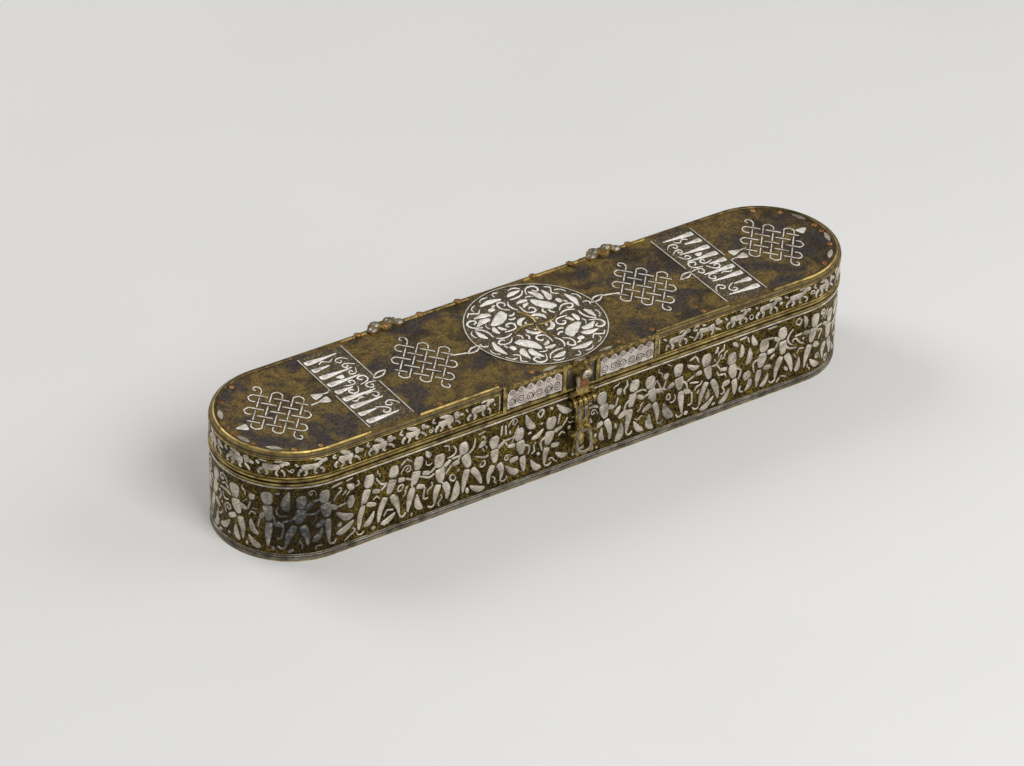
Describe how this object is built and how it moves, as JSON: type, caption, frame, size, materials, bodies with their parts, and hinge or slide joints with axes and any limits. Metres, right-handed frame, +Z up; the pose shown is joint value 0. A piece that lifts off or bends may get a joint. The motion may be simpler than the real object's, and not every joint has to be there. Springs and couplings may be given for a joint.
{
  "type": "qalamdan pen box",
  "caption": "Long round-ended brass pen box inlaid with silver: a case with an ink end, a lid hinged along its back edge, and a hasp that drops over a staple at the front.",
  "frame": {"origin": "centre of the underside of the base, on the table", "axes": "+X along the box towards the ink end, -Y towards the clasp, +Z up"},
  "size_m": [0.2408, 0.061, 0.0428],
  "materials": {
    "aged_brass": "dark patinated sheet brass",
    "brass": "worn bright brass",
    "silver": "hammered silver inlay, lightly tarnished",
    "copper": "copper rivets"
  },
  "bodies": {
    "case": {"base_plate": "aged_brass", "case_wall": "aged_brass", "case_rim": "brass", "case_lip": "aged_brass", "ink_bulkhead": "aged_brass", "ink_deck": "brass", "ink_cup": "aged_brass", "sand_cup": "aged_brass", "paste_cup": "aged_brass", "hinge_case_leaf_left": "brass", "hinge_case_leaf_right": "brass", "hinge_pin_left": "aged_brass", "hinge_pin_right": "aged_brass", "hinge_case_rivets": "copper", "staple": "brass"},
    "lid": {"lid_top": "aged_brass", "lid_wall": "aged_brass", "lid_rim": "brass", "end_border_left": "brass", "end_border_right": "brass", "front_border": "brass", "rear_border": "brass", "lid_rivets": "copper", "silver_pads": "silver", "hinge_lid_leaf_left": "brass", "hinge_lid_leaf_right": "brass", "hinge_caps": "silver", "hinge_lid_rivets": "copper", "plaque_left": "brass", "plaque_right": "brass", "cartouche_left": "silver", "cartouche_right": "silver", "clasp_strap": "brass", "clasp_stud": "silver", "clasp_rivet": "copper", "clasp_pin": "brass", "roundel_ring": "silver", "band_lines": "silver"},
    "hasp": {"hasp_plate": "brass", "hasp_strips": "silver"}
  },
  "joints": [
    {"name": "lid_hinge", "type": "hinge", "parent": "case", "child": "lid", "pos_m": [0, 0.0285, 0.0305], "axis": [-1, 0, 0], "range_deg": [0, 105]},
    {"name": "hasp_swing", "type": "hinge", "parent": "lid", "child": "hasp", "pos_m": [0, -0.0284, 0.0272], "axis": [-1, 0, 0], "range_deg": [-7.5, 140]}
  ]
}
